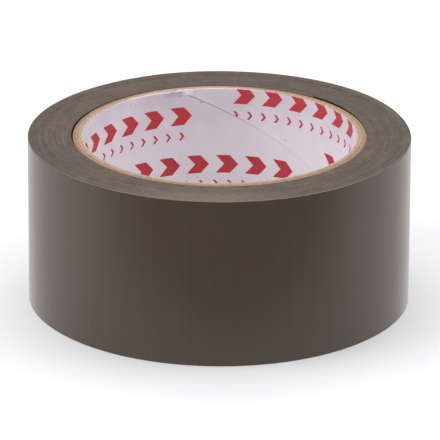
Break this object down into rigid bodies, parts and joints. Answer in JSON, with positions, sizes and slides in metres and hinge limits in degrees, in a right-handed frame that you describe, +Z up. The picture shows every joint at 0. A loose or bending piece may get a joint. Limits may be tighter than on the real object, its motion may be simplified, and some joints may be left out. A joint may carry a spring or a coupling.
{
  "type": "roll of packing tape",
  "caption": "Roll of brown packing tape lying on its end: tightly wound film on a paperboard core with a white paper liner printed in red.",
  "frame": {"origin": "centre of the underside, the end of the roll that it lies on", "axes": "+Z up along the roll's axis, +X to the right and +Y away from the viewer as the picture sees it"},
  "size_m": [0.107, 0.1062, 0.048],
  "materials": {
    "brown_film": "smooth satin polypropylene film, duller on the cut ends of the turns",
    "paperboard": "raw kraft paperboard, plies showing on the cut ends",
    "white_paper": "matt white printed paper",
    "red_ink": "matt red printing ink on paper"
  },
  "bodies": {
    "root": {"tape_winding": "brown_film", "paper_core": "paperboard", "core_liner": "white_paper", "liner_print": "red_ink"}
  },
  "joints": []
}
